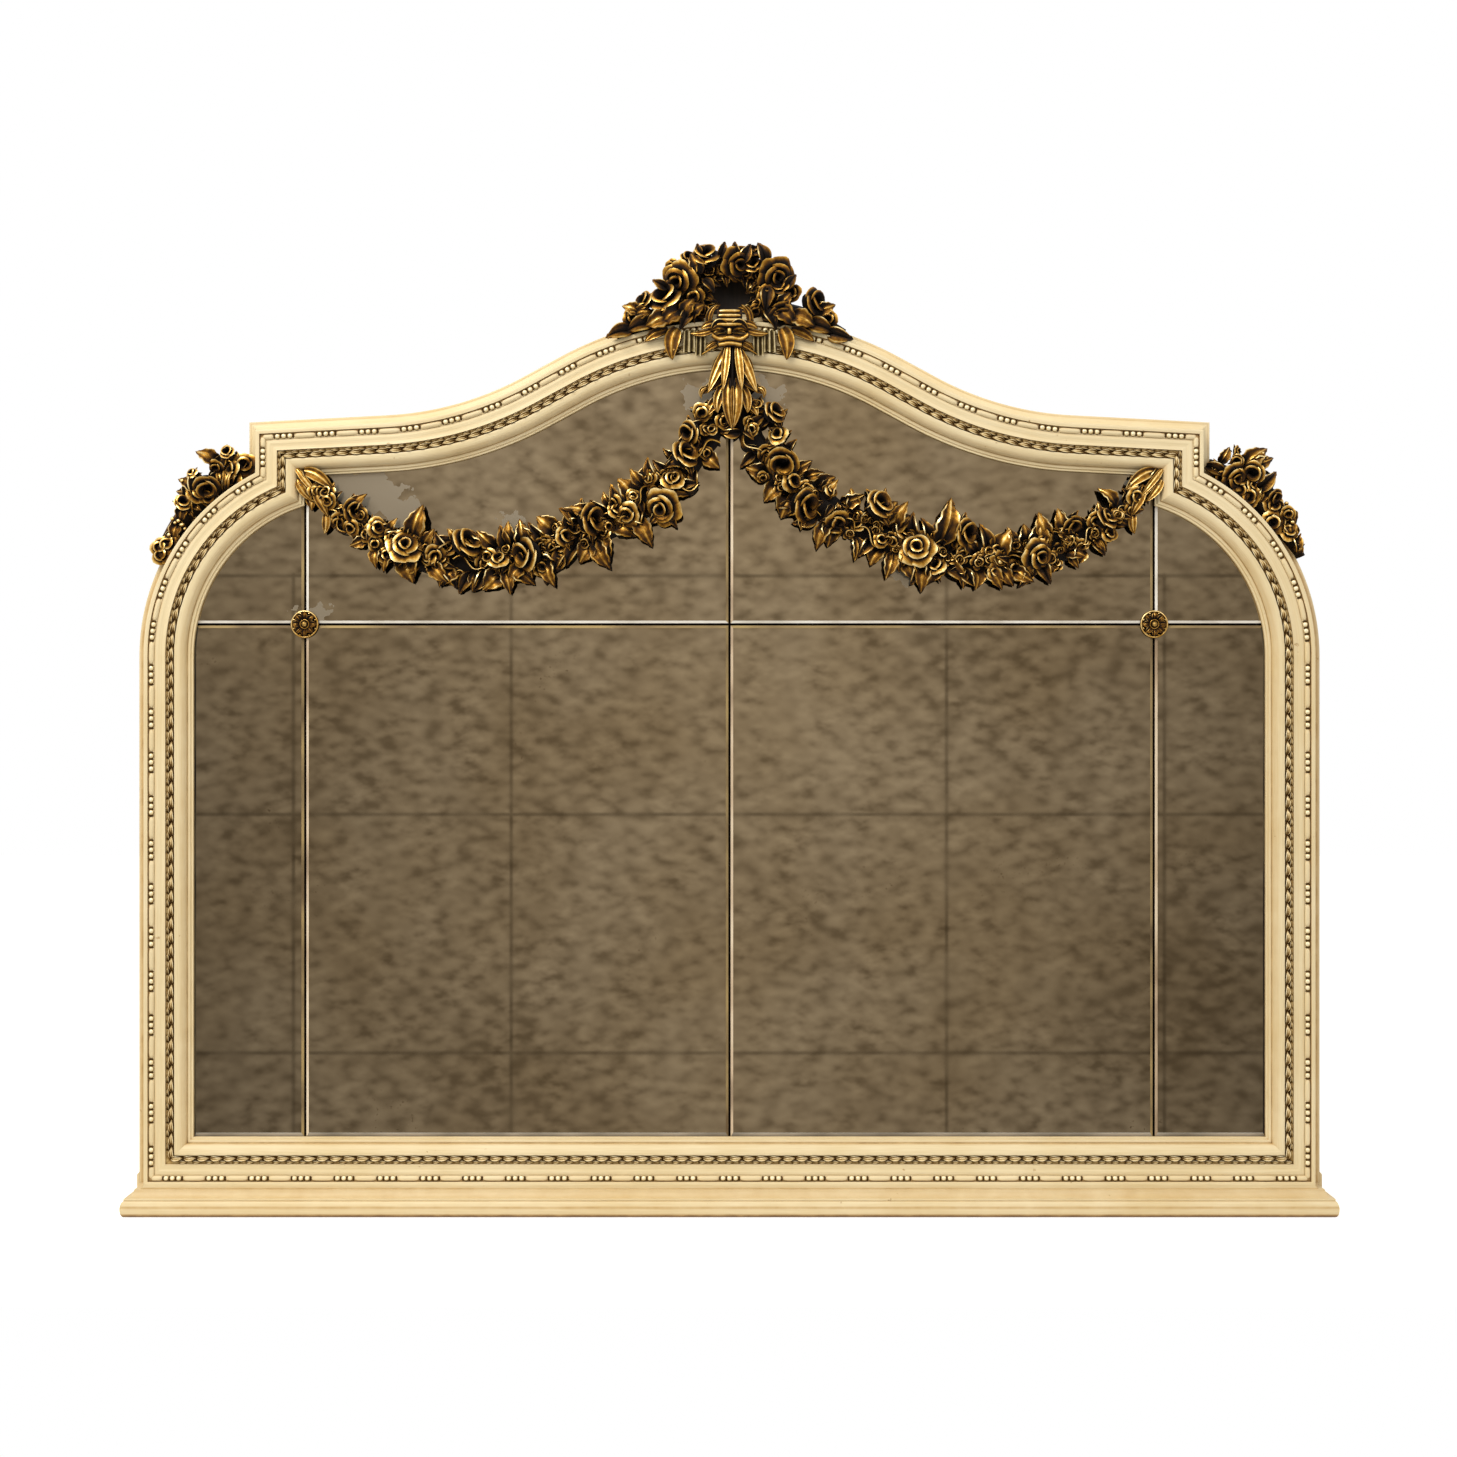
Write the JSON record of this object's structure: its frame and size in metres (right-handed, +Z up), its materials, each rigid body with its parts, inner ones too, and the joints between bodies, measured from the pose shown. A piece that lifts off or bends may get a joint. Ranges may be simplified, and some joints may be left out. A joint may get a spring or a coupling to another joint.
{
  "type": "louis xvi style mirror",
  "caption": "Overmantel mirror with a cream moulded frame, gilded rose garlands, a wreath crest, flower sprays at the shoulders and bevelled panes on a moulded plinth.",
  "frame": {"origin": "middle of the underside of the plinth's core board, on the base", "axes": "+X to the right as seen from the front, +Y towards the wall behind, +Z up; the front faces -Y"},
  "size_m": [1.806, 0.0846, 1.4532],
  "materials": {
    "cream_paint": "aged cream paint, satin",
    "gilding": "worn antique gilding on carved wood",
    "bare_wood": "bare, aged",
    "silvered_glass": "aged silvering, bevelled",
    "brass": "cast and lacquered, worn",
    "iron": "dark, forged"
  },
  "bodies": {
    "mirror": {"bottom_rail": "cream_paint", "stile_left": "cream_paint", "stile_right": "cream_paint", "shoulder_left": "cream_paint", "shoulder_right": "cream_paint", "ear_left": "cream_paint", "ear_right": "cream_paint", "ogee_rail_left": "cream_paint", "ogee_rail_right": "cream_paint", "crown_rail": "cream_paint", "joint_dowels": "bare_wood", "mitre_splines": "bare_wood", "plinth_core": "bare_wood", "plinth_front": "cream_paint", "plinth_end_left": "cream_paint", "plinth_end_right": "cream_paint", "foot_strip_left": "cream_paint", "foot_strip_right": "cream_paint", "bead_strip_bottom": "gilding", "bead_strip_left": "gilding", "bead_strip_right": "gilding", "bead_strip_top": "gilding", "leaf_strip_bottom": "gilding", "leaf_strip_left": "gilding", "leaf_strip_right": "gilding", "leaf_strip_top": "gilding", "pane_lower_left": "silvered_glass", "pane_lower_mid_left": "silvered_glass", "pane_lower_mid_right": "silvered_glass", "pane_lower_right": "silvered_glass", "pane_upper_left": "silvered_glass", "pane_upper_mid_left": "silvered_glass", "pane_upper_mid_right": "silvered_glass", "pane_upper_right": "silvered_glass", "rosette_left": "brass", "rosette_right": "brass", "rosette_screws": "brass", "garland_left": "gilding", "garland_right": "gilding", "garland_pins": "iron", "acanthus_pendant": "gilding", "crest_wreath": "gilding", "crest_console": "gilding", "crest_backing": "bare_wood", "spray_left": "gilding", "spray_right": "gilding", "backboard_left": "bare_wood", "backboard_mid_left": "bare_wood", "backboard_mid_right": "bare_wood", "backboard_right": "bare_wood", "batten_lower": "bare_wood", "batten_upper": "bare_wood", "batten_screws": "iron", "retaining_blocks": "bare_wood", "hanger_strap_left": "iron", "hanger_strap_right": "iron", "hanger_screws": "iron"},
    "ring_left": {"hanger_ring_left": "iron"},
    "ring_right": {"hanger_ring_right": "iron"}
  },
  "joints": [
    {"name": "ring_left_swing", "type": "hinge", "parent": "mirror", "child": "ring_left", "pos_m": [-0.8505, 0.03195, 0.8], "axis": [1, 0, 0], "range_deg": [0, 180]},
    {"name": "ring_right_swing", "type": "hinge", "parent": "mirror", "child": "ring_right", "pos_m": [0.8505, 0.03195, 0.8], "axis": [1, 0, 0], "range_deg": [0, 180]}
  ]
}
